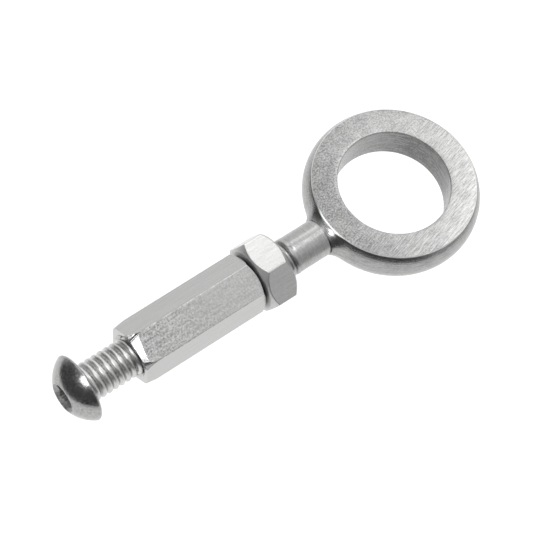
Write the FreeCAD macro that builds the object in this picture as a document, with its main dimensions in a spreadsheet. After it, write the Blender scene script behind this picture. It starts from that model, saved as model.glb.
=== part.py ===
import FreeCAD, Part
import Sketcher
import os
import re

# Roof anchor: an eye bolt and a button-head screw that meet inside a long hexagon sleeve,
# with a lock nut on the eye bolt.  The roof sheet is clamped between the screw's head and
# the sleeve's end.
#
# Frame: origin on the common axis, on the sleeve's end face that bears on the sheet.
# +X runs along the axis towards the eye, +Z is normal to the eye's flat faces.
# Every piece is drawn along its own Z axis, measured from that same end face, and its
# Placement then lays it along X.

doc = FreeCAD.newDocument("roof_anchor")

# ------------------------------------------------- driving dimensions, mm and degrees
DIMENSIONS = {
    # threads, and the plain bores that stand for the threads inside the sleeve and nut
    "thread_pitch": 1.75,
    "crest_radius": 4.9,
    "root_radius": 3.98,
    "root_width": 0.21,
    "flank_radius": 4.55,
    "flank_width": 0.95,
    "crest_round": 0.44,
    "groove_radius": 5.0,
    "groove_width": 1.65,
    "tip_chamfer": 0.9,
    "bore_clearance": 0.08,
    "mouth_radius": 5.75,
    # eye
    "eye_bore_radius": 14.0,
    "eye_outer_radius": 22.0,
    "eye_thickness": 10.0,
    "eye_rim_arc": 8.5,
    "eye_centre": 79.0,
    "eye_edge_break": 0.2,
    # stem of the eye bolt, whose root at the ring is a step, a short neck and a flare
    "shank_radius": 4.8,
    "stem_tip": 20.0,
    "stem_crest_end": 46.9,
    "shoulder": 56.5,
    "shoulder_round": 0.35,
    "run_out": 0.5,
    "neck_radius": 4.5,
    "neck_length": 0.3,
    "neck_flare": 2.3,
    "flare_width": 9.9,
    "flare_reach": 8.0,
    "core_depth": 1.0,
    # sleeve
    "sleeve_length": 35.0,
    "sleeve_flats": 13.8,
    "sleeve_roll": 22.0,
    "seat_corner_radius": 7.45,
    "seat_chamfer_length": 2.4,
    "sleeve_chamfer_step": 0.15,
    "sleeve_chamfer": 35.0,
    # lock nut
    "nut_start": 35.4,
    "nut_height": 8.0,
    "nut_flats": 17.0,
    "nut_roll": -7.6,
    "nut_chamfer_step": 0.35,
    "nut_chamfer": 42.0,
    "cutter_margin": 1.0,
    # button-head screw
    "grip": 14.0,
    "screw_tip": 10.25,
    "head_radius": 8.75,
    "head_edge": 0.7,
    "head_height": 5.3,
    "dome_radius": 9.85,
    "collar_radius": 5.1,
    "collar_height": 0.35,
    "socket_flats": 6.0,
    "socket_depth": 3.3,
    "socket_mouth": 3.9,
    "socket_lead": 3.3,
    "drill_radius": 2.88,
    "drill_point": 1.2,
}

dims = doc.addObject("Spreadsheet::Sheet", "dims")
for row, (alias, size) in enumerate(DIMENSIONS.items(), start=1):
    dims.set(f"A{row}", alias)
    dims.set(f"B{row}", str(size))
    dims.setAlias(f"B{row}", alias)
doc.recompute()


def formula(text):
    """The text with each driving dimension's name turned into a reference to its cell."""
    return re.sub(
        r"[a-z_]+",
        lambda word: f"dims.{word[0]}" if word[0] in DIMENSIONS else word[0],
        text,
    )


def value(text):
    """What a formula of driving dimensions comes to."""
    return float(dims.evalExpression(formula(text)))


# ------------------------------------------------------------------ drawing helpers
def new_body(name):
    body = doc.addObject("PartDesign::Body", name)
    body.Label = name
    return body


def new_sketch(body, name, role="XZ_Plane"):
    """An empty sketch on one of the body's own origin planes."""
    sketch = body.newObject("Sketcher::SketchObject", name)
    plane = next(item for item in body.Origin.OriginFeatures if item.Role == role)
    sketch.AttachmentSupport = [(plane, "")]
    sketch.MapMode = "FlatFace"
    return sketch


def end_at(sketch, edge, point):
    """1 if the edge starts at the point, 2 if it ends there."""
    start, end = sketch.getPoint(edge, 1), sketch.getPoint(edge, 2)
    return 1 if start.distanceToPoint(point) < end.distanceToPoint(point) else 2


def tie(sketch, kind, text, *vertices):
    """A dimension constraint whose size is a formula of the driving dimensions."""
    index = sketch.addConstraint(Sketcher.Constraint(kind, *vertices, value(text)))
    sketch.setExpression(f"Constraints[{index}]", formula(text))


def outline(sketch, corners):
    """A closed outline through corners, each given as its (across, along) formulas.

    Two more entries make the edge that leaves a corner an arc: the formula of its radius,
    and the side on which it bulges, 1 for left of the way the outline runs, -1 for right.
    """
    count = len(corners)
    points = [FreeCAD.Vector(value(c[0]), value(c[1]), 0) for c in corners]
    first = len(sketch.Geometry)
    for i, corner in enumerate(corners):
        start, end = points[i], points[(i + 1) % count]
        if len(corner) == 2:
            sketch.addGeometry(Part.LineSegment(start, end))
            continue
        radius, side = value(corner[2]), corner[3]
        chord = end - start
        left = FreeCAD.Vector(-chord.y, chord.x, 0).normalize()
        rise = radius - (radius**2 - (chord.Length / 2) ** 2) ** 0.5
        sketch.addGeometry(Part.Arc(start, (start + end) * 0.5 + left * rise * side, end))
    for i, corner in enumerate(corners):
        edge, after = first + i, first + (i + 1) % count
        joint = points[(i + 1) % count]
        ends = (edge, end_at(sketch, edge, joint), after, end_at(sketch, after, joint))
        sketch.addConstraint(Sketcher.Constraint("Coincident", *ends))
        vertex = (edge, end_at(sketch, edge, points[i]))
        for kind, axis, text in (("DistanceX", -2, corner[0]), ("DistanceY", -1, corner[1])):
            if text == "0":
                sketch.addConstraint(Sketcher.Constraint("PointOnObject", *vertex, axis))
            else:
                tie(sketch, kind, text, -1, 1, *vertex)
        if len(corner) > 2:
            tie(sketch, "Radius", corner[2], edge)


def revolve(body, kind, name, corners, axis="V_Axis", shift="0"):
    """Turns an outline about an axis of its sketch; shift lifts the sketch along the piece."""
    sketch = new_sketch(body, name + "_outline")
    sketch.setExpression("AttachmentOffset.Base.y", formula(shift))
    outline(sketch, corners)
    feature = body.newObject("PartDesign::" + kind, name)
    feature.Profile = sketch
    feature.ReferenceAxis = (sketch, [axis])
    feature.Angle = 360
    return feature


def hexagon(body, kind, name, flats, length, start="0"):
    """A hexagon pad or pocket with one corner on the piece's own Y axis."""
    sketch = new_sketch(body, name + "_outline", "XY_Plane")
    half, corner = f"{flats} / 2", f"{flats} / sqrt(3)"
    outline(
        sketch,
        [
            ("0", corner),
            (f"-{half}", f"{corner} / 2"),
            (f"-{half}", f"-{corner} / 2"),
            ("0", f"-{corner}"),
            (half, f"-{corner} / 2"),
            (half, f"{corner} / 2"),
        ],
    )
    sketch.setExpression("AttachmentOffset.Base.z", formula(start))
    feature = body.newObject("PartDesign::" + kind, name)
    feature.Profile = sketch
    feature.setExpression("Length", formula(length))
    return feature


def cut_thread(body, start, length):
    """A helical groove with a narrow root, straight flanks and arcs that round the crests."""
    sketch = new_sketch(body, "thread_outline")
    outline(
        sketch,
        [
            ("root_radius", "-root_width / 2"),
            ("root_radius", "root_width / 2"),
            ("flank_radius", "flank_width / 2", "crest_round", -1),
            ("groove_radius", "groove_width / 2"),
            ("groove_radius", "-groove_width / 2", "crest_round", -1),
            ("flank_radius", "-flank_width / 2"),
        ],
    )
    sketch.setExpression("AttachmentOffset.Base.y", formula(start))
    thread = body.newObject("PartDesign::SubtractiveHelix", "thread")
    thread.Profile = sketch
    thread.ReferenceAxis = (sketch, ["V_Axis"])
    thread.Mode = 0
    thread.setExpression("Pitch", formula("thread_pitch"))
    thread.setExpression("Height", formula(length))


def lay_along_x(body, roll="0"):
    """Turns the piece about its own axis by roll, then lays its Z axis along X."""
    along_x = FreeCAD.Rotation(FreeCAD.Vector(0, 1, 0), 90)
    turned = FreeCAD.Rotation(FreeCAD.Vector(0, 0, 1), value(roll))
    body.Placement = FreeCAD.Placement(FreeCAD.Vector(0, 0, 0), along_x * turned)


# ------------------------------------------------------------------ the four pieces
def make_eye_bolt():
    """One forging: a threaded stem that flares into a ring with flat faces and a crowned rim."""
    body = new_body("eye_bolt")
    flare_start = "(shoulder + neck_length)"
    flare_end = f"({flare_start} + neck_flare)"
    revolve(
        body,
        "Revolution",
        "stem",
        [
            ("0", "stem_tip"),
            ("crest_radius - tip_chamfer", "stem_tip"),
            ("crest_radius", "stem_tip + tip_chamfer"),
            ("crest_radius", "stem_crest_end"),
            ("shank_radius", "stem_crest_end + run_out"),
            ("shank_radius", "shoulder - shoulder_round", "shoulder_round", -1),
            ("shank_radius - shoulder_round", "shoulder"),
            ("neck_radius", "shoulder"),
            ("neck_radius", flare_start, "neck_flare", 1),
            ("neck_radius + neck_flare", flare_end),
            ("neck_radius + neck_flare", f"{flare_end} + core_depth"),
            ("0", f"{flare_end} + core_depth"),
        ],
    )
    # the flare is no thicker than the ring
    sides = new_sketch(body, "flare_sides_outline")
    core_end = f"{flare_end} + 2 * core_depth"
    for low, high in (
        ("flare_width / 2", "flare_reach"),
        ("-flare_reach", "-flare_width / 2"),
    ):
        outline(
            sides,
            [(low, "shoulder"), (high, "shoulder"), (high, core_end), (low, core_end)],
        )
    flare_sides = body.newObject("PartDesign::Pocket", "flare_sides")
    flare_sides.Profile = sides
    flare_sides.Type = 1
    flare_sides.Midplane = True
    half = "eye_thickness / 2"
    rim = f"({half} - eye_edge_break)"
    crown = "(eye_outer_radius - eye_rim_arc)"
    face_edge = f"({crown} + sqrt(eye_rim_arc ^ 2 - {rim} ^ 2))"
    revolve(
        body,
        "Revolution",
        "ring",
        [
            (rim, "eye_bore_radius"),
            (half, "eye_bore_radius + eye_edge_break"),
            (half, f"{face_edge} - eye_edge_break"),
            (rim, face_edge, "eye_rim_arc", -1),
            (f"-{rim}", face_edge),
            (f"-{half}", f"{face_edge} - eye_edge_break"),
            (f"-{half}", "eye_bore_radius + eye_edge_break"),
            (f"-{rim}", "eye_bore_radius"),
        ],
        axis="H_Axis",
        shift="eye_centre",
    )
    cut_thread(
        body,
        "stem_tip - thread_pitch",
        "stem_crest_end - stem_tip + thread_pitch / 2",
    )
    lay_along_x(body)
    return body


def make_sleeve():
    """The long hexagon sleeve, with a slender lead chamfer on the end that bears on the sheet."""
    body = new_body("coupling_nut")
    hexagon(body, "Pad", "hexagon", "sleeve_flats", "sleeve_length")
    bore = "(crest_radius + bore_clearance)"
    mouth = f"(mouth_radius - {bore})"
    revolve(
        body,
        "Groove",
        "bore",
        [
            ("0", "0"),
            ("mouth_radius", "0"),
            (bore, mouth),
            (bore, f"sleeve_length - {mouth}"),
            ("mouth_radius", "sleeve_length"),
            ("0", "sleeve_length"),
        ],
    )
    # both cutters reach past the corners of the hexagon
    corner = "(sleeve_flats / sqrt(3))"
    reach = f"({corner} + cutter_margin)"
    seat_slope = f"seat_chamfer_length / ({corner} - seat_corner_radius)"
    far_edge = "(sleeve_flats / 2 - sleeve_chamfer_step)"
    revolve(
        body,
        "Groove",
        "seat_chamfer",
        [
            ("seat_corner_radius", "0"),
            (reach, "0"),
            (reach, f"({reach} - seat_corner_radius) * {seat_slope}"),
        ],
    )
    revolve(
        body,
        "Groove",
        "nut_end_chamfer",
        [
            (far_edge, "sleeve_length"),
            (reach, f"sleeve_length - ({reach} - {far_edge}) * tan(sleeve_chamfer)"),
            (reach, "sleeve_length"),
        ],
    )
    lay_along_x(body, "sleeve_roll")
    return body


def make_lock_nut():
    """A hexagon nut, chamfered on both ends, with countersunk mouths."""
    body = new_body("lock_nut")
    hexagon(body, "Pad", "hexagon", "nut_flats", "nut_height", "nut_start")
    end = "(nut_start + nut_height)"
    bore = "(crest_radius + bore_clearance)"
    mouth = f"(mouth_radius - {bore})"
    revolve(
        body,
        "Groove",
        "bore",
        [
            ("0", "nut_start"),
            ("mouth_radius", "nut_start"),
            (bore, f"nut_start + {mouth}"),
            (bore, f"{end} - {mouth}"),
            ("mouth_radius", end),
            ("0", end),
        ],
    )
    reach = "(nut_flats / sqrt(3) + cutter_margin)"
    edge = "(nut_flats / 2 - nut_chamfer_step)"
    depth = f"({reach} - {edge}) * tan(nut_chamfer)"
    revolve(
        body,
        "Groove",
        "sleeve_side_chamfer",
        [(edge, "nut_start"), (reach, "nut_start"), (reach, f"nut_start + {depth}")],
    )
    revolve(
        body,
        "Groove",
        "eye_side_chamfer",
        [(edge, end), (reach, f"{end} - {depth}"), (reach, end)],
    )
    lay_along_x(body, "nut_roll")
    return body


def make_screw():
    """A button-head screw with a hexagon socket, threaded up to a short collar."""
    body = new_body("button_head_screw")
    under = "-grip"
    dome_edge = "(-grip - head_edge)"
    crown = "(-grip - head_height)"
    revolve(
        body,
        "Revolution",
        "blank",
        [
            ("0", "screw_tip"),
            ("0", crown),
            ("socket_mouth", crown, "dome_radius", -1),
            ("head_radius", dome_edge, "head_edge", -1),
            ("head_radius - head_edge", under),
            ("collar_radius", under),
            ("collar_radius", f"{under} + collar_height"),
            ("crest_radius", f"{under} + collar_height"),
            ("crest_radius", "screw_tip - tip_chamfer"),
            ("crest_radius - tip_chamfer", "screw_tip"),
        ],
    )
    socket = hexagon(body, "Pocket", "socket", "socket_flats", "socket_depth", crown)
    socket.Reversed = True
    # the socket's countersunk mouth, and the drill's hole that it was broached in
    revolve(
        body,
        "Groove",
        "socket_mouth_and_drill_point",
        [
            ("0", crown),
            ("socket_mouth", crown),
            ("socket_lead", f"{crown} + socket_mouth - socket_lead"),
            ("drill_radius", f"{crown} + socket_depth"),
            ("0", f"{crown} + socket_depth + drill_point"),
        ],
    )
    cut_thread(
        body,
        f"{under} + collar_height + thread_pitch / 2",
        "screw_tip + grip + thread_pitch / 2",
    )
    lay_along_x(body)
    return body


# ------------------------------------------------------------------ build and export
pieces = [make_eye_bolt(), make_sleeve(), make_lock_nut(), make_screw()]
doc.recompute()

for item in doc.Objects:
    if "Invalid" in item.State or "Error" in item.State:
        raise RuntimeError(f"{item.Name} failed: {item.State}")
for body in pieces:
    if body.Shape.isNull() or not body.Shape.isValid() or len(body.Shape.Solids) != 1:
        raise RuntimeError(f"{body.Label} is not one valid solid")
    for feature in body.Group:
        if hasattr(feature, "AddSubShape"):
            print(f"{body.Label}.{feature.Name}: {feature.Shape.Volume:.1f} mm3")

os.makedirs("parts", exist_ok=True)
for body in pieces:
    body.Shape.exportStep(f"parts/{body.Label}.step")
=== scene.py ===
import math

import bmesh
import bpy
from mathutils import Matrix, Vector


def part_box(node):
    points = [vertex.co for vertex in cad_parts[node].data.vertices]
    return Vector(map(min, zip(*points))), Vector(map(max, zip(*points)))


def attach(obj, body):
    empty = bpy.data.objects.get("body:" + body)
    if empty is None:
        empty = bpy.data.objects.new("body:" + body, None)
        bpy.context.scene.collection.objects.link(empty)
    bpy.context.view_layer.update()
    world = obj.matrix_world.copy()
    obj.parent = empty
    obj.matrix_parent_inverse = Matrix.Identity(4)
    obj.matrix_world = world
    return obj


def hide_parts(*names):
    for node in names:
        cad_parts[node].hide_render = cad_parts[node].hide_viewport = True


# A roof anchor in stainless steel: an eye bolt with its lock nut, a long hexagon sleeve, and a
# button-head screw.  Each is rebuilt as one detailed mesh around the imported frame.
#
# Lengths are in millimetres until a mesh is made.  Angles about the anchor's axis (+X) are
# measured from +Y towards +Z.

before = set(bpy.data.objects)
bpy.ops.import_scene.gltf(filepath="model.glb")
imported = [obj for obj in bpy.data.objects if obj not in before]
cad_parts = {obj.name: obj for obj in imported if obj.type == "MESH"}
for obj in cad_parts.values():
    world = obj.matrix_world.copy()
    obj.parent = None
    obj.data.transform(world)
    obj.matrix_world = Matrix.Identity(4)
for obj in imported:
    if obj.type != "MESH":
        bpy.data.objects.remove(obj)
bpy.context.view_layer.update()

MM = 0.001
# points nearer than this are one point
SAME_POINT = 0.002
# the radius of a turned piece's innermost row, which its end cap closes
ON_AXIS = 0.01


def node_box(node):
    """A node's lowest and highest corner, in mm."""
    low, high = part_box(node)
    return low / MM, high / MM


# ------------------------------------------------------------------ sizes
# thread: the radii of its crests and roots, of the bore that takes it and of the bore's
# countersunk mouth; CREST_FULLNESS below 1 makes the crests wide and the roots narrow
PITCH = 1.75
CREST = 4.9
ROOT = 3.98
CREST_FULLNESS = 0.6
TIP_CHAMFER = 0.9
BORE_CLEARANCE = 0.08
BORE = CREST + BORE_CLEARANCE
MOUTH = 5.75
# rows across the flat end of a thread
TIP_ROWS = (ON_AXIS, 2.0, ROOT - 0.5)
ROWS_PER_TURN = 24
TURNED_SIDES = 144

# ring: RIM_DROP is how far below the flat face the rim's arc starts, and EDGE_ROUND is both the
# round at the bore's edge and how far inside the outer edge the flat face ends
eye_low, eye_high = node_box("eye_bolt")
RING_BORE = 14.0
RING_RADIUS = 22.0
RING_RIM_ARC = 8.5
RING_SIDES = 256
RIM_DROP = 0.2
RING_HALF = eye_high.z
RING_CENTRE = eye_high.x - RING_RADIUS
ARC_CENTRE = RING_RADIUS - RING_RIM_ARC
RIM_HALF = RING_HALF - RIM_DROP
RING_EDGE = ARC_CENTRE + math.sqrt(RING_RIM_ARC**2 - RIM_HALF**2)
EDGE_ROUND = 0.22
# the flat face falls away a little towards its outer edge
CROWN_WIDTH = 2.38
CROWN_DROP = 0.08
EDGE_INSET = 0.07
EDGE_DROP = 0.04

# stem: its thread ends at THREAD_END, and SHOULDER is the step down to the neck
SHANK = 4.8
THREAD_END = 46.9
THREAD_RUNOUT = 0.4
SHOULDER = 56.5
SHOULDER_ROUND = 0.35
NECK = 4.5
NECK_DIP = 0.35
NECK_BLEND = 3.6
FACE_BLEND = 3.0
# how far past the shoulder the neck's skin runs on inside the ring, where it starts to sink under
# the ring's skin, and how steeply
NECK_RUN = 5.0
NECK_SINKS = 4.2
NECK_SINK_SLOPE = 0.25
# how far under the flat faces the neck's skin stays, and a radius beyond its widest flare
UNDER_FACE = 0.02
WIDEST_FLARE = 14.0
# a small step along the axis between two rows
ROW_GAP = 0.05

# hexagon pieces: the width across flats, the turn about the axis and the chamfers' depth and lean;
# LEAD is the slender turned chamfer at the sleeve's seat end, and GROUND the bevel ground across
# one face there, from its narrow to its wide side
sleeve_low, sleeve_high = node_box("coupling_nut")
nut_low, nut_high = node_box("lock_nut")
CORNER_ROUND = 0.22
EDGE_WEAR = 0.14
SLEEVE_FLATS = 13.8
SLEEVE_ROLL = math.radians(22.0)
SLEEVE_CHAMFER = 0.15
SLEEVE_CHAMFER_LEAN = math.radians(35)
LEAD_LENGTH = 3.4
LEAD_DEPTH = 0.42
GROUND_NARROW = 1.4
GROUND_WIDE = 2.35
GROUND_LEAN = math.radians(32)
NUT_FLATS = 17.0
NUT_ROLL = math.radians(-7.6)
NUT_CHAMFER = 0.35
NUT_CHAMFER_LEAN = math.radians(42)

# screw: GRIP is the bare thread between its head and the sleeve, HEAD_EDGE and SOCKET_LIP are
# rounds, SOCKET_DRILL is the radius of the hole drilled first, and DRILL_POINT that hole's point
screw_low, screw_high = node_box("button_head_screw")
GRIP = 14.0
HEAD_RADIUS = screw_high.z
HEAD_TOP = screw_low.x
HEAD_EDGE = 0.7
COLLAR = 5.1
COLLAR_ROUND = 0.15
THREAD_START = -GRIP + 0.35
SOCKET_FLATS = 6.0
SOCKET_ROUND = 0.15
SOCKET_DEPTH = 3.3
SOCKET_MOUTH = 3.9
SOCKET_LIP = 0.15
SOCKET_DRILL = 0.48 * SOCKET_FLATS
DRILL_POINT = 1.2


# ------------------------------------------------------------------ mesh helpers
def mesh_object(name, vertices, faces, sharp=28):
    """A smooth-shaded mesh object from vertices in mm, sharp at edges over sharp degrees."""
    mesh = bpy.data.meshes.new(name)
    mesh.from_pydata([Vector(v) * MM for v in vertices], [], faces)
    mesh.validate()
    clean = bmesh.new()
    clean.from_mesh(mesh)
    # rows that meet where a chamfer runs out leave quads with no area
    bmesh.ops.remove_doubles(clean, verts=clean.verts, dist=SAME_POINT * MM)
    bmesh.ops.dissolve_degenerate(clean, edges=clean.edges, dist=SAME_POINT * MM)
    bmesh.ops.recalc_face_normals(clean, faces=clean.faces)
    clean.to_mesh(mesh)
    clean.free()
    mesh.shade_smooth()
    mesh.set_sharp_from_angle(angle=math.radians(sharp))
    piece = bpy.data.objects.new(name, mesh)
    bpy.context.scene.collection.objects.link(piece)
    return piece


def skin(rows, closed=False, caps=False):
    """Vertices and quads through rows of points, each row a loop with the same count.

    closed joins the last row to the first; caps closes the first and last row instead.
    """
    count = len(rows[0])
    vertices = [point for row in rows for point in row]
    faces = []
    last = len(rows) if closed else len(rows) - 1
    for i in range(last):
        here, there = i * count, ((i + 1) % len(rows)) * count
        for j in range(count):
            k = (j + 1) % count
            faces.append((here + j, here + k, there + k, there + j))
    if caps:
        faces.append(tuple(reversed(range(count))))
        faces.append(tuple(range((len(rows) - 1) * count, len(rows) * count)))
    return vertices, faces


def spread(start, end, count):
    """count + 1 evenly spaced numbers from start to end."""
    return [start + (end - start) * i / count for i in range(count + 1)]


def around(x, radius, angles):
    """A loop about the anchor's axis at x, where radius is a number or a function of angle."""
    loop = []
    for angle in angles:
        r = radius(angle) if callable(radius) else radius
        loop.append((x(angle) if callable(x) else x, r * math.cos(angle), r * math.sin(angle)))
    return loop


def hexagon_angles(roll, corner_steps=6, face_steps=24, corner_span=math.radians(2.6)):
    """Angles about the axis that lie closer together at the six rounded corners."""
    angles = []
    for side in range(6):
        corner = roll + side * math.pi / 3
        angles += spread(corner - corner_span, corner + corner_span, corner_steps)
        face = spread(corner + corner_span, corner + math.pi / 3 - corner_span, face_steps)
        angles += face[1:-1]
    return angles


def hexagon_radius(flats, roll, corner_round):
    """Distance from the axis to a hexagon whose corners are rounded by corner_round."""
    apothem = flats / 2
    inner = apothem - corner_round
    inner_corner = inner / math.cos(math.pi / 6)

    def radius(angle):
        # the angle from the nearest corner
        off = (angle - roll + math.pi / 6) % (math.pi / 3) - math.pi / 6
        flat = apothem / math.cos(math.pi / 6 - abs(off))
        across = inner_corner * math.sin(off)
        if abs(across) >= corner_round:
            return flat
        arc = inner_corner * math.cos(off) + math.sqrt(corner_round**2 - across**2)
        return min(flat, arc)

    return radius


def thread_radius(x, angle, start, end, fade=0.6 * PITCH):
    """Radius of a right-hand thread with rounded crests and narrow roots, between two x."""
    turn = (x / PITCH - angle / (2 * math.pi)) % 1.0
    height = math.sin(math.pi * turn) ** CREST_FULLNESS
    strength = min(1.0, max(0.0, (x - start) / fade), max(0.0, (end - x) / fade))
    return CREST - (CREST - ROOT) * (1 - height) * strength


# ------------------------------------------------------------------ eye bolt
def ring_profile():
    """The ring's section as a closed outline of (distance from the ring's axis, z)."""
    wall_half = RING_HALF - EDGE_ROUND
    wall = [(RING_BORE, z) for z in spread(-wall_half, wall_half, 6)]
    crown_end = RING_EDGE - EDGE_ROUND
    crown_start = crown_end - CROWN_WIDTH
    face = []
    for a in spread(0, math.pi / 2, 4)[1:]:
        along = RING_BORE + EDGE_ROUND * (1 - math.cos(a))
        face.append((along, wall_half + EDGE_ROUND * math.sin(a)))
    for r in spread(RING_BORE + EDGE_ROUND, crown_start, 4)[1:]:
        face.append((r, RING_HALF))
    for share in spread(0, 1, 8)[1:]:
        face.append((crown_start + CROWN_WIDTH * share, RING_HALF - CROWN_DROP * share**2))
    face.append((RING_EDGE - EDGE_INSET, RING_HALF - CROWN_DROP - EDGE_DROP))
    lean = math.asin(RIM_HALF / RING_RIM_ARC)
    rim = [
        (ARC_CENTRE + RING_RIM_ARC * math.cos(a), RING_RIM_ARC * math.sin(a))
        for a in spread(lean, -lean, 36)
    ]
    other_face = [(r, -z) for r, z in reversed(face)]
    return wall + face + rim + other_face


def ring_mesh():
    """The ring, turned about its own axis: flat faces, a crowned rim and softened edges."""
    turns = spread(0, 2 * math.pi, RING_SIDES)[:-1]
    rows = [
        [(RING_CENTRE + r * math.cos(angle), r * math.sin(angle), z) for angle in turns]
        for r, z in ring_profile()
    ]
    return skin(rows, closed=True)


def stem_blend(x, angle):
    """Radius of the neck where it flares into the ring: a smooth union of the two shapes."""
    # wide at the sides of the neck, tight where it runs up to the ring's flat faces
    blend = FACE_BLEND + (NECK_BLEND - FACE_BLEND) * math.cos(angle) ** 2
    # halving a range of radii finds the surface
    low, high = 0.0, WIDEST_FLARE
    for _ in range(30):
        rho = (low + high) / 2
        y, z = rho * math.cos(angle), rho * math.sin(angle)
        to_neck = rho - (NECK - NECK_DIP * math.sin(angle) ** 2)
        from_centre = math.hypot(RING_CENTRE - x, y)
        to_ring = math.hypot(from_centre - ARC_CENTRE, z) - RING_RIM_ARC
        near = max(blend - abs(to_neck - to_ring), 0) / blend
        if min(to_neck, to_ring) - near**2 * blend / 4 < 0:
            low = rho
        else:
            high = rho
    upright = max(abs(math.sin(angle)), 1e-6)
    return min(rho, (RING_HALF - UNDER_FACE) / upright)


def stem_mesh():
    """Threaded stem, plain shank, a small shoulder and the neck that flares into the ring."""
    angles = spread(0, 2 * math.pi, TURNED_SIDES)[:-1]
    tip = eye_low.x
    rows = [around(tip, r, angles) for r in TIP_ROWS]
    steps = round(ROWS_PER_TURN * (THREAD_END - tip) / PITCH)
    for x in spread(tip, THREAD_END + THREAD_RUNOUT, steps):
        lead = CREST - TIP_CHAMFER + (x - tip)
        rows.append(
            around(x, lambda a: min(lead, thread_radius(x, a, tip - 2, THREAD_END)), angles)
        )
    rows.append(around(THREAD_END + 2 * THREAD_RUNOUT, SHANK, angles))
    for x in spread(THREAD_END + 1, SHOULDER - SHOULDER_ROUND - ROW_GAP, 8):
        rows.append(around(x, SHANK, angles))
    for a in spread(0, math.pi / 2, 5):
        x = SHOULDER - SHOULDER_ROUND * (1 - math.sin(a))
        rows.append(around(x, SHANK - SHOULDER_ROUND * (1 - math.cos(a)), angles))
    for x in spread(SHOULDER + 0.02, SHOULDER + NECK_RUN, 60):
        sunk = max(0.0, x - SHOULDER - NECK_SINKS) * NECK_SINK_SLOPE
        rows.append(around(x, lambda a: stem_blend(x, a) - sunk, angles))
    rows += [around(SHOULDER + NECK_RUN, r, angles) for r in (3.0, ON_AXIS)]
    return skin(rows, caps=True)


def joined(name, *parts):
    """One object from several closed skins."""
    vertices, faces = [], []
    for part_vertices, part_faces in parts:
        shift = len(vertices)
        vertices += part_vertices
        faces += [tuple(i + shift for i in face) for face in part_faces]
    return mesh_object(name, vertices, faces)


# ------------------------------------------------------------------ hexagon pieces
def hexagon_piece(name, flats, roll, low, high, low_cut, high_cut):
    """A bored hexagon bar from low to high.

    low_cut and high_cut give, for an angle and the bar's radius there, how far along the
    axis that end's chamfer runs and the radius it leaves on the end face.
    """
    angles = hexagon_angles(roll)
    bar = hexagon_radius(flats, roll, CORNER_ROUND)
    sink = MOUTH - BORE
    rows = [around(x, BORE, angles) for x in spread(high - sink, low + sink, 12)]
    rows.append(around(low, MOUTH, angles))
    rows.append(around(low, lambda a: low_cut(a, bar(a))[1], angles))
    low_end = around(lambda a: low + low_cut(a, bar(a))[0], bar, angles)
    high_end = around(lambda a: high - high_cut(a, bar(a))[0], bar, angles)
    for share in spread(0, 1, 14):
        rows.append(
            [tuple(Vector(p).lerp(Vector(q), share)) for p, q in zip(low_end, high_end)]
        )
    rows.append(around(high, lambda a: high_cut(a, bar(a))[1], angles))
    rows.append(around(high, MOUTH, angles))
    piece = mesh_object(name, *skin(rows, closed=True))
    worn = piece.modifiers.new("worn_edges", "BEVEL")
    worn.width = EDGE_WEAR * MM
    worn.segments = 3
    worn.limit_method = "ANGLE"
    worn.angle_limit = math.radians(14)
    worn.harden_normals = False
    return piece


def cone_cut(edge_radius, slope):
    """A turned chamfer that leaves edge_radius on the end face."""

    def cut(angle, radius):
        if radius <= edge_radius:
            return 0.0, radius
        return (radius - edge_radius) * slope, edge_radius

    return cut


def seat_end_cut(angle, radius):
    """The seat end's chamfer: a slender turned lead, and a bevel ground across one face.

    The bevel is widest at one of its face's corners, and runs out over the faces beside it.
    """
    corner_radius = SLEEVE_FLATS / math.sqrt(3)
    lead = cone_cut(corner_radius - LEAD_DEPTH, LEAD_LENGTH / LEAD_DEPTH)
    length, left = lead(angle, radius)
    # the angle from the middle of the ground face, from -pi to pi
    off = (angle - SLEEVE_ROLL + math.pi / 2) % (2 * math.pi) - math.pi
    if abs(off) < math.pi / 3:
        wide = min(max(0.5 - off / (math.pi / 3), 0.0), 1.0)
        ground = GROUND_NARROW + (GROUND_WIDE - GROUND_NARROW) * wide**2
        slope = math.tan(GROUND_LEAN)
        outward = radius * math.cos(off) - SLEEVE_FLATS / 2
        length = max(length, ground + outward / slope)
        left = min(left, (SLEEVE_FLATS / 2 - ground * slope) / math.cos(off))
    return length, left


def make_sleeve():
    """The long hexagon sleeve, with its lead and ground bevel at the seat end."""
    piece = hexagon_piece(
        "sleeve",
        SLEEVE_FLATS,
        SLEEVE_ROLL,
        sleeve_low.x,
        sleeve_high.x,
        seat_end_cut,
        cone_cut(SLEEVE_FLATS / 2 - SLEEVE_CHAMFER, math.tan(SLEEVE_CHAMFER_LEAN)),
    )
    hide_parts("coupling_nut")
    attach(piece, "sleeve")
    return piece


def make_nut():
    """The lock nut, with the same turned chamfer at both ends."""
    chamfer = cone_cut(NUT_FLATS / 2 - NUT_CHAMFER, math.tan(NUT_CHAMFER_LEAN))
    piece = hexagon_piece(
        "locking_nut", NUT_FLATS, NUT_ROLL, nut_low.x, nut_high.x, chamfer, chamfer
    )
    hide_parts("lock_nut")
    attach(piece, "lock_nut")
    return piece


def make_eye():
    """The eye bolt, as one object from the ring's skin and the stem's."""
    piece = joined("eye", ring_mesh(), stem_mesh())
    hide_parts("eye_bolt")
    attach(piece, "eye")
    return piece


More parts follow.
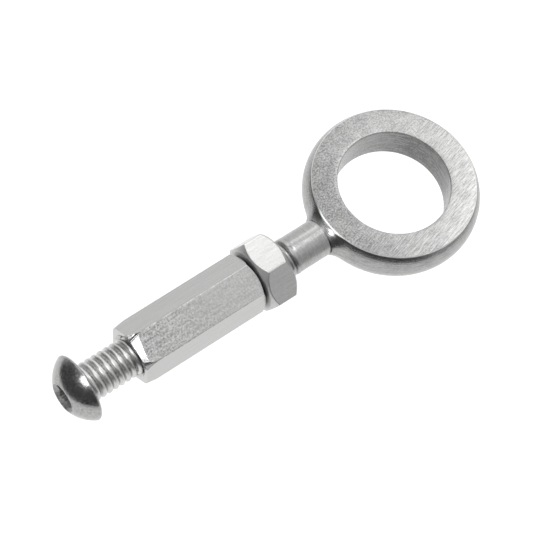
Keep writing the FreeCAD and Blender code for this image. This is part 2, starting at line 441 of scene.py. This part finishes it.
# ------------------------------------------------------------------ button-head screw
def socket_rows(angles):
    """The hexagon socket from its drilled floor to the softened lip of its round mouth."""
    socket = hexagon_radius(SOCKET_FLATS, 0.0, SOCKET_ROUND)
    floor = HEAD_TOP + SOCKET_DEPTH
    # a countersink at 45 degrees cuts the six walls off, deepest at the corners
    countersink = HEAD_TOP + SOCKET_LIP + SOCKET_MOUTH
    rows = [around(floor + DRILL_POINT, ON_AXIS, angles)]
    rows.append(around(floor, SOCKET_DRILL, angles))
    rows.append(around(floor, socket, angles))
    for share in spread(0, 1, 6)[1:]:
        rows.append(
            around(lambda a: floor + (countersink - socket(a) - floor) * share, socket, angles)
        )
    # the lip's arc starts at 45 degrees, where 1 - cos(a) is 0.29
    for a in spread(math.pi / 4, math.pi / 2, 3):
        outward = SOCKET_LIP * (1 - math.cos(a) - 0.29)
        x = HEAD_TOP + SOCKET_LIP * (1 - math.sin(a))
        rows.append(around(x, SOCKET_MOUTH + outward, angles))
    return rows


def dome_rows(angles):
    """The head's dome and the round at its edge.

    The dome is a sphere centred on the axis, through the socket's mouth and the head's edge.
    """
    edge_x = -GRIP - HEAD_EDGE
    mouth, rim = SOCKET_MOUTH + SOCKET_LIP, HEAD_RADIUS
    centre = ((rim**2 + edge_x**2) - (mouth**2 + HEAD_TOP**2)) / (2 * (edge_x - HEAD_TOP))
    dome = math.hypot(rim, edge_x - centre)
    first = math.atan2(mouth, centre - HEAD_TOP)
    last = math.atan2(rim, centre - edge_x)
    rows = []
    for a in spread(first, last, 30):
        rows.append(around(centre - dome * math.cos(a), dome * math.sin(a), angles))
    for a in spread(0, math.pi / 2, 8)[1:]:
        x = edge_x + HEAD_EDGE * math.sin(a)
        rows.append(around(x, rim - HEAD_EDGE * (1 - math.cos(a)), angles))
    return rows


def screw_mesh():
    """Domed head with a hexagon socket, a short collar and a threaded stem."""
    angles = spread(0, 2 * math.pi, TURNED_SIDES)[:-1]
    rows = socket_rows(angles) + dome_rows(angles)
    for r in spread(HEAD_RADIUS - HEAD_EDGE, COLLAR + COLLAR_ROUND, 4)[1:]:
        rows.append(around(-GRIP, r, angles))
    rows.append(around(-GRIP + COLLAR_ROUND, COLLAR, angles))
    rows.append(around(-GRIP + 2 * COLLAR_ROUND, COLLAR, angles))
    start, tip = THREAD_START, screw_high.x
    for x in spread(start, tip, round(ROWS_PER_TURN * (tip - start) / PITCH)):
        lead = CREST - TIP_CHAMFER + (tip - x)
        rows.append(
            around(x, lambda a: min(lead, thread_radius(x, a, start, tip + 2)), angles)
        )
    rows += [around(tip, r, angles) for r in reversed(TIP_ROWS)]
    return skin(rows, caps=True)


def make_screw():
    """The button-head screw."""
    piece = mesh_object("screw", *screw_mesh())
    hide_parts("button_head_screw")
    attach(piece, "screw")
    return piece


# ------------------------------------------------------------------ materials
# lengths in mm: half the width of a soft step between two finishes
HALF_STEP = 0.05
# a flat face's finish starts this far below the face
FACE_MARGIN = 0.12
# the band of painted highlight at the ring's outer edge: inwards, outwards and down from the edge
HIGHLIGHT_BAND_IN = 0.115
HIGHLIGHT_BAND_OUT = 0.325
HIGHLIGHT_BAND_DOWN = 0.26
# the blue of a grey, against its red and green
WARMTH = 0.99


def feed(socket, value):
    """Link a node's input to another node's output, or set it to a plain value."""
    if isinstance(value, bpy.types.NodeSocket):
        socket.id_data.links.new(value, socket)
    else:
        socket.default_value = value


class Surface:
    """A metal's node tree, with short calls for the nodes that it is made of."""

    def __init__(self, name):
        self.material = bpy.data.materials.new(name)
        self.material.use_nodes = True
        self.tree = self.material.node_tree
        self.shader = self.tree.nodes["Principled BSDF"]
        self.shader.inputs["Metallic"].default_value = 1.0
        self.place = self.tree.nodes.new("ShaderNodeTexCoord").outputs["Object"]

    def node(self, kind, **inputs):
        """A new node; inputs are outputs to link or values to set, by socket name."""
        node = self.tree.nodes.new(kind)
        for key, value in inputs.items():
            feed(node.inputs[key.replace("_", " ")], value)
        return node

    def place_mm(self, turn=(0, 0, 0), scale=(1, 1, 1)):
        """The object's own coordinates in mm, turned and then scaled."""
        turned = self.node(
            "ShaderNodeMapping",
            Vector=self.place,
            Rotation=[math.radians(a) for a in turn],
            Scale=(1 / MM, 1 / MM, 1 / MM),
        ).outputs["Vector"]
        return self.node("ShaderNodeMapping", Vector=turned, Scale=scale).outputs["Vector"]

    def noise(self, vector, scale, detail=3.0, roughness=0.5):
        """Noise with about scale features to the mm, from 0 to 1."""
        return self.node(
            "ShaderNodeTexNoise", Vector=vector, Scale=scale, Detail=detail, Roughness=roughness
        ).outputs["Fac"]

    def dot(self, vector, way):
        """The dot product of a node's output with a fixed vector."""
        node = self.tree.nodes.new("ShaderNodeVectorMath")
        node.operation = "DOT_PRODUCT"
        feed(node.inputs[0], vector)
        feed(node.inputs[1], way)
        return node.outputs["Value"]

    def along(self, x, y, z):
        """How far a point lies along a direction, in mm."""
        return self.dot(self.place_mm(), (x, y, z))

    def facing_along(self):
        """How far the surface faces along the anchor's axis, from 0 to 1."""
        normal = self.tree.nodes.new("ShaderNodeTexCoord").outputs["Normal"]
        return self.math("ABSOLUTE", self.dot(normal, (1, 0, 0)))

    def height(self):
        """Distance from the plane z = 0, in mm."""
        return self.math("ABSOLUTE", self.along(0, 0, 1))

    def from_ring_axis(self):
        """Distance from the ring's own axis, in mm."""
        along = self.math("SUBTRACT", self.along(1, 0, 0), RING_CENTRE)
        across = self.along(0, 1, 0)
        squares = [self.math("MULTIPLY", d, d) for d in (along, across)]
        return self.math("SQRT", self.math("ADD", *squares))

    def beyond(self, distance, limit):
        """1 where distance is over limit, 0 elsewhere, with a narrow soft step."""
        return self.levels(distance, limit - HALF_STEP, limit + HALF_STEP)

    def mixed(self, share, first, second):
        """first where share is 0, second where it is 1."""
        return self.node("ShaderNodeMix", Factor=share, A=first, B=second).outputs["Result"]

    def levels(self, fac, low, high, out_low=0.0, out_high=1.0):
        """fac stretched so that low gives out_low and high gives out_high."""
        return self.node(
            "ShaderNodeMapRange",
            Value=fac,
            From_Min=low,
            From_Max=high,
            To_Min=out_low,
            To_Max=out_high,
        ).outputs["Result"]

    def math(self, operation, *values):
        """One Math node over its one or two values."""
        node = self.tree.nodes.new("ShaderNodeMath")
        node.operation = operation
        for socket, value in zip(node.inputs, values):
            feed(socket, value)
        return node.outputs["Value"]

    def tone(self, fac, dark, light):
        """Base colour between two greys, a touch warm."""
        ramp = self.tree.nodes.new("ShaderNodeValToRGB")
        for element, grey in zip(ramp.color_ramp.elements, (dark, light)):
            element.color = (grey, grey, grey * WARMTH, 1)
        feed(ramp.inputs["Fac"], fac)
        feed(self.shader.inputs["Base Color"], ramp.outputs["Color"])

    def set_roughness(self, fac, low, high):
        """Roughness from low, where fac is 0, to high, where it is 1."""
        feed(self.shader.inputs["Roughness"], self.levels(fac, 0, 1, low, high))

    def bump(self, height, depth):
        """Bump of a height from 0 to 1 that stands depth mm high."""
        node = self.node("ShaderNodeBump", Height=height, Distance=depth * MM, Strength=1.0)
        feed(self.shader.inputs["Normal"], node.outputs["Normal"])


def make_eye_material():
    """Satin steel: ground diagonally across the flat faces, turned along the shank."""
    surface = Surface("eye_satin")
    along_x = surface.along(1, 0, 0)
    from_axis = surface.from_ring_axis()
    height = surface.height()
    ring = surface.beyond(along_x, SHOULDER)
    faces = surface.beyond(height, RING_HALF - FACE_MARGIN)

    speckle = surface.noise(surface.place_mm(), scale=2.2, detail=5.0, roughness=0.7)
    stain = surface.noise(surface.place_mm(), scale=0.35, detail=3.0, roughness=0.6)
    mottle = surface.mixed(0.2, speckle, stain)
    ground_way = surface.place_mm(turn=(0, 0, -15), scale=(0.06, 1, 1))
    scratches = surface.noise(ground_way, scale=5.0, detail=4.0, roughness=0.6)
    round_stem = surface.noise(surface.place_mm(scale=(1, 0.1, 0.1)), scale=4.0, detail=2.0)
    round_rim = surface.noise(surface.place_mm(scale=(0.12, 0.12, 1)), scale=3.0, detail=3.0)
    lines = surface.mixed(faces, surface.mixed(ring, round_stem, round_rim), scratches)
    # the grinding lines are plain on one side of the ring and fade out on the other
    across = surface.along(0.5, -0.87, 0)
    middle = RING_CENTRE * 0.5
    plain = surface.levels(across, middle - 12, middle + 10, 0.08, 0.6)
    grain = surface.mixed(surface.mixed(faces, 0.4, plain), mottle, lines)
    grain = surface.levels(grain, 0.4, 0.6)

    shank = surface.levels(grain, 0, 1, 0.34, 0.54)
    # painted shade: the flat faces are darkened towards the neck
    painted_neck_shade = surface.levels(along_x, RING_CENTRE - 16, RING_CENTRE + 2, 0.13, 0.0)
    ground = surface.math("SUBTRACT", surface.levels(grain, 0, 1, 0.18, 0.6), painted_neck_shade)
    # the rim and the bore are as forged and darker than the ground faces
    forged = surface.math("SUBTRACT", ring, faces)
    rough = surface.levels(grain, 0, 1, 0.24, 0.46)
    # painted shade: the bore is darkened, most towards its far end
    bore = surface.math("SUBTRACT", 1.0, surface.beyond(from_axis, RING_BORE + 0.1))
    painted_bore_shade = surface.levels(along_x, RING_CENTRE + 6, RING_CENTRE + 13, 0.14, 0.27)
    forged_with_bore_shade = surface.math("SUBTRACT", rough, surface.math("MULTIPLY", bore, painted_bore_shade))
    shade = surface.mixed(forged, surface.mixed(faces, shank, ground), forged_with_bore_shade)
    # painted highlight: the ring's outer edges are painted bright
    past_inner = surface.beyond(from_axis, RING_EDGE - HIGHLIGHT_BAND_IN)
    past_outer = surface.beyond(from_axis, RING_EDGE + HIGHLIGHT_BAND_OUT)
    band = surface.math("SUBTRACT", past_inner, past_outer)
    high_up = surface.beyond(height, RING_HALF - HIGHLIGHT_BAND_DOWN)
    edge = surface.math("MULTIPLY", band, high_up)
    surface.tone(surface.mixed(edge, shade, 0.95), dark=0.1, light=0.8)

    satin = surface.mixed(ring, 0.2, surface.mixed(faces, 0.0, 0.5))
    surface.set_roughness(surface.mixed(edge, satin, 1.0), low=0.23, high=0.46)
    surface.bump(grain, depth=0.012)
    return surface.material


def make_sleeve_material():
    """Drawn hexagon bar: smooth faces with faint drawing lines, one of them mottled."""
    surface = Surface("sleeve_drawn")
    mottle = surface.noise(surface.place_mm(), scale=2.0, detail=5.0, roughness=0.75)
    lines = surface.noise(surface.place_mm(scale=(0.04, 1, 1)), scale=3.0, detail=2.0)
    middle = SLEEVE_ROLL + math.radians(90)
    out = surface.along(0, math.cos(middle), math.sin(middle))
    face = surface.beyond(out, SLEEVE_FLATS / 2 - FACE_MARGIN)
    plain = surface.levels(surface.mixed(0.5, mottle, lines), 0, 1, 0.32, 0.72)
    # the mottle is strongest at the seat end
    mottled = surface.levels(surface.mixed(0.2, mottle, lines), 0.4, 0.6)
    faded = surface.levels(mottled, 0, 1, 0.4, 0.8)
    far_end = surface.levels(surface.along(1, 0, 0), 4, 24)
    grain = surface.mixed(face, plain, surface.mixed(far_end, mottled, faded))
    surface.tone(grain, dark=0.25, light=0.7)
    surface.set_roughness(face, low=0.22, high=0.3)
    surface.bump(grain, depth=0.025)
    return surface.material


def make_nut_material():
    """Bright machined faces with faint streaks along them."""
    surface = Surface("nut_bright")
    streaks = surface.noise(surface.place_mm(scale=(0.1, 1, 1)), scale=1.4, detail=3.0)
    mottle = surface.noise(surface.place_mm(), scale=2.2, detail=3.0)
    grain = surface.levels(surface.mixed(0.4, streaks, mottle), 0.36, 0.64)
    surface.tone(grain, dark=0.55, light=0.62)
    # the turned chamfers are duller than the faces
    chamfer = surface.levels(surface.facing_along(), 0.35, 0.55)
    surface.set_roughness(chamfer, low=0.24, high=0.5)
    surface.bump(grain, depth=0.003)
    return surface.material


def make_head_material():
    """Polished head with a few fine handling marks."""
    surface = Surface("screw_head_polished")
    marks = surface.noise(surface.place_mm(), scale=2.2, detail=5.0, roughness=0.7)
    grain = surface.levels(marks, 0.38, 0.62)
    surface.tone(grain, dark=0.26, light=0.48)
    surface.set_roughness(grain, low=0.15, high=0.25)
    surface.bump(grain, depth=0.004)
    return surface.material


def make_socket_material():
    """Broached socket: dull, with fine lines along its walls."""
    surface = Surface("screw_socket_broached")
    lines = surface.noise(surface.place_mm(scale=(0.1, 1, 1)), scale=3.0, detail=3.0)
    surface.tone(surface.levels(lines, 0.36, 0.64), dark=0.3, light=0.58)
    surface.set_roughness(lines, low=0.4, high=0.6)
    surface.bump(lines, depth=0.01)
    return surface.material


def make_thread_material():
    """Rolled thread: duller than the head, with lines that run along the flanks."""
    surface = Surface("screw_thread_rolled")
    lines = surface.noise(surface.place_mm(scale=(1, 0.15, 0.15)), scale=5.0, detail=2.0)
    mottle = surface.noise(surface.place_mm(), scale=2.5, detail=4.0, roughness=0.65)
    grain = surface.levels(surface.mixed(0.5, lines, mottle), 0.36, 0.64)
    surface.tone(grain, dark=0.5, light=0.72)
    surface.set_roughness(grain, low=0.28, high=0.42)
    surface.bump(grain, depth=0.008)
    return surface.material


def finish_screw(screw):
    """Give the screw's head, thread and socket a finish each."""
    screw.data.materials.append(make_head_material())
    screw.data.materials.append(make_thread_material())
    screw.data.materials.append(make_socket_material())
    thread_from = -GRIP + 0.2
    socket_to = HEAD_TOP + SOCKET_DEPTH + DRILL_POINT + 0.1
    for face in screw.data.polygons:
        x = face.center.x / MM
        from_axis = math.hypot(face.center.y, face.center.z) / MM
        if x > thread_from:
            face.material_index = 1
        elif x < socket_to and from_axis < SOCKET_MOUTH:
            face.material_index = 2


# ------------------------------------------------------------------ stage, lights and camera
# in metres and degrees; the camera is the one that took the photograph, as fitted to it
FLOOR_DROP = 0.12
FLOOR_RADIUS = 0.42
FLOOR_SIDES = 96
FLOOR_GREY = 0.95
FLOOR_GLOW = 0.25
LIT_POINT = Vector((0.05, 0, 0))
CAMERA_TARGET = Vector((0.0410, 0.0008, 0.0))
CAMERA_AZIMUTH = -141.11
CAMERA_ELEVATION = 62.56
CAMERA_ROLL = 15.61
CAMERA_DISTANCE = 0.6237
CAMERA_LENS_MM = 175.6
CAMERA_SENSOR_MM = 36.0


def make_floor():
    """A round white floor well below the anchor, which is held up and not lying down."""
    corners = [
        (FLOOR_RADIUS * math.cos(a), FLOOR_RADIUS * math.sin(a), -FLOOR_DROP)
        for a in spread(0, 2 * math.pi, FLOOR_SIDES)[:-1]
    ]
    mesh = bpy.data.meshes.new("floor")
    mesh.from_pydata(corners, [], [tuple(range(FLOOR_SIDES))])
    floor = bpy.data.objects.new("floor", mesh)
    bpy.context.scene.collection.objects.link(floor)
    material = bpy.data.materials.new("floor_white")
    material.use_nodes = True
    shader = material.node_tree.nodes["Principled BSDF"]
    shader.inputs["Base Color"].default_value = (FLOOR_GREY, FLOOR_GREY, FLOOR_GREY, 1)
    shader.inputs["Roughness"].default_value = 0.9
    shader.inputs["Emission Color"].default_value = (1, 1, 1, 1)
    shader.inputs["Emission Strength"].default_value = FLOOR_GLOW
    mesh.materials.append(material)


def direction(azimuth, elevation):
    """A unit vector at an azimuth from +X towards +Y and an elevation above the floor."""
    azimuth, elevation = math.radians(azimuth), math.radians(elevation)
    level = math.cos(elevation)
    return Vector((level * math.cos(azimuth), level * math.sin(azimuth), math.sin(elevation)))


def facing(backward, roll=0.0):
    """A rotation that looks along -backward, turned by roll about the line of sight."""
    right = Vector((0, 0, 1)).cross(backward).normalized()
    up = backward.cross(right)
    roll = math.radians(roll)
    turned = right * math.cos(roll) + up * math.sin(roll)
    return Matrix((turned, backward.cross(turned), backward)).transposed().to_4x4()


def make_camera():
    """The photograph's camera: long lens, high up at the screw's end, and rolled."""
    backward = direction(CAMERA_AZIMUTH, CAMERA_ELEVATION)
    data = bpy.data.cameras.new("camera")
    data.sensor_width = CAMERA_SENSOR_MM
    data.lens = CAMERA_LENS_MM
    data.clip_end = 10.0
    camera = bpy.data.objects.new("camera", data)
    place = Matrix.Translation(CAMERA_TARGET + backward * CAMERA_DISTANCE)
    camera.matrix_world = place @ facing(backward, CAMERA_ROLL)
    bpy.context.scene.collection.objects.link(camera)
    bpy.context.scene.camera = camera


def area_light(name, azimuth, elevation, distance, width, height, power):
    """A rectangular light of some watts that looks at the sleeve from distance metres away."""
    backward = direction(azimuth, elevation)
    data = bpy.data.lights.new(name, "AREA")
    data.shape = "RECTANGLE"
    data.size = width
    data.size_y = height
    data.energy = power
    light = bpy.data.objects.new(name, data)
    light.matrix_world = Matrix.Translation(LIT_POINT + backward * distance) @ facing(backward)
    bpy.context.scene.collection.objects.link(light)


def make_world():
    """A pale studio whose low horizon is dark, deepest towards the screw's end.

    The camera itself sees plain white past the floor's edge.
    """
    world = bpy.data.worlds.new("studio")
    bpy.context.scene.world = world
    world.use_nodes = True
    tree = world.node_tree
    parts = tree.nodes.new("ShaderNodeSeparateXYZ")
    feed(parts.inputs["Vector"], tree.nodes.new("ShaderNodeTexCoord").outputs["Generated"])

    def smooth(value, low, high, at_low, at_high):
        """A smooth step from at_low, where value is low, to at_high, where it is high."""
        node = tree.nodes.new("ShaderNodeMapRange")
        node.interpolation_type = "SMOOTHSTEP"
        for key, given in (
            ("Value", value),
            ("From Min", low),
            ("From Max", high),
            ("To Min", at_low),
            ("To Max", at_high),
        ):
            feed(node.inputs[key], given)
        return node.outputs["Result"]

    front = smooth(parts.outputs["X"], -0.15, 0.35, at_low=0.1, at_high=0.58)
    back = smooth(parts.outputs["X"], -0.55, 0.05, at_low=0.11, at_high=1.0)
    horizon = smooth(parts.outputs["Y"], 0.0, 0.4, at_low=front, at_high=back)
    overhead = smooth(parts.outputs["X"], -0.8, 0.6, at_low=0.45, at_high=0.95)
    sky = smooth(parts.outputs["Z"], 0.45, 0.8, at_low=horizon, at_high=overhead)
    seen = tree.nodes.new("ShaderNodeLightPath").outputs["Is Camera Ray"]
    strength = smooth(seen, 0.0, 1.0, at_low=sky, at_high=1.0)
    background = tree.nodes["Background"]
    background.inputs["Color"].default_value = (1, 1, 1, 1)
    feed(background.inputs["Strength"], strength)


def make_lights():
    """The studio, a key light, two soft lights and two that draw highlights on the metal."""
    make_world()
    area_light("key", azimuth=-170, elevation=48, distance=1.0, width=0.42, height=0.22, power=2.4)
    area_light("fill", azimuth=62, elevation=44, distance=1.2, width=0.35, height=0.35, power=0.5)
    area_light("top", azimuth=110, elevation=75, distance=1.0, width=0.5, height=0.5, power=1.0)
    area_light("sheen", azimuth=8, elevation=50, distance=0.35, width=0.12, height=0.12, power=0.16)
    area_light("streak", azimuth=-15, elevation=70, distance=1.0, width=0.08, height=0.3, power=0.14)


eye = make_eye()
sleeve = make_sleeve()
nut = make_nut()
screw = make_screw()
eye.data.materials.append(make_eye_material())
sleeve.data.materials.append(make_sleeve_material())
nut.data.materials.append(make_nut_material())
finish_screw(screw)
make_floor()
make_lights()
make_camera()
bpy.context.scene.view_settings.view_transform = "Standard"
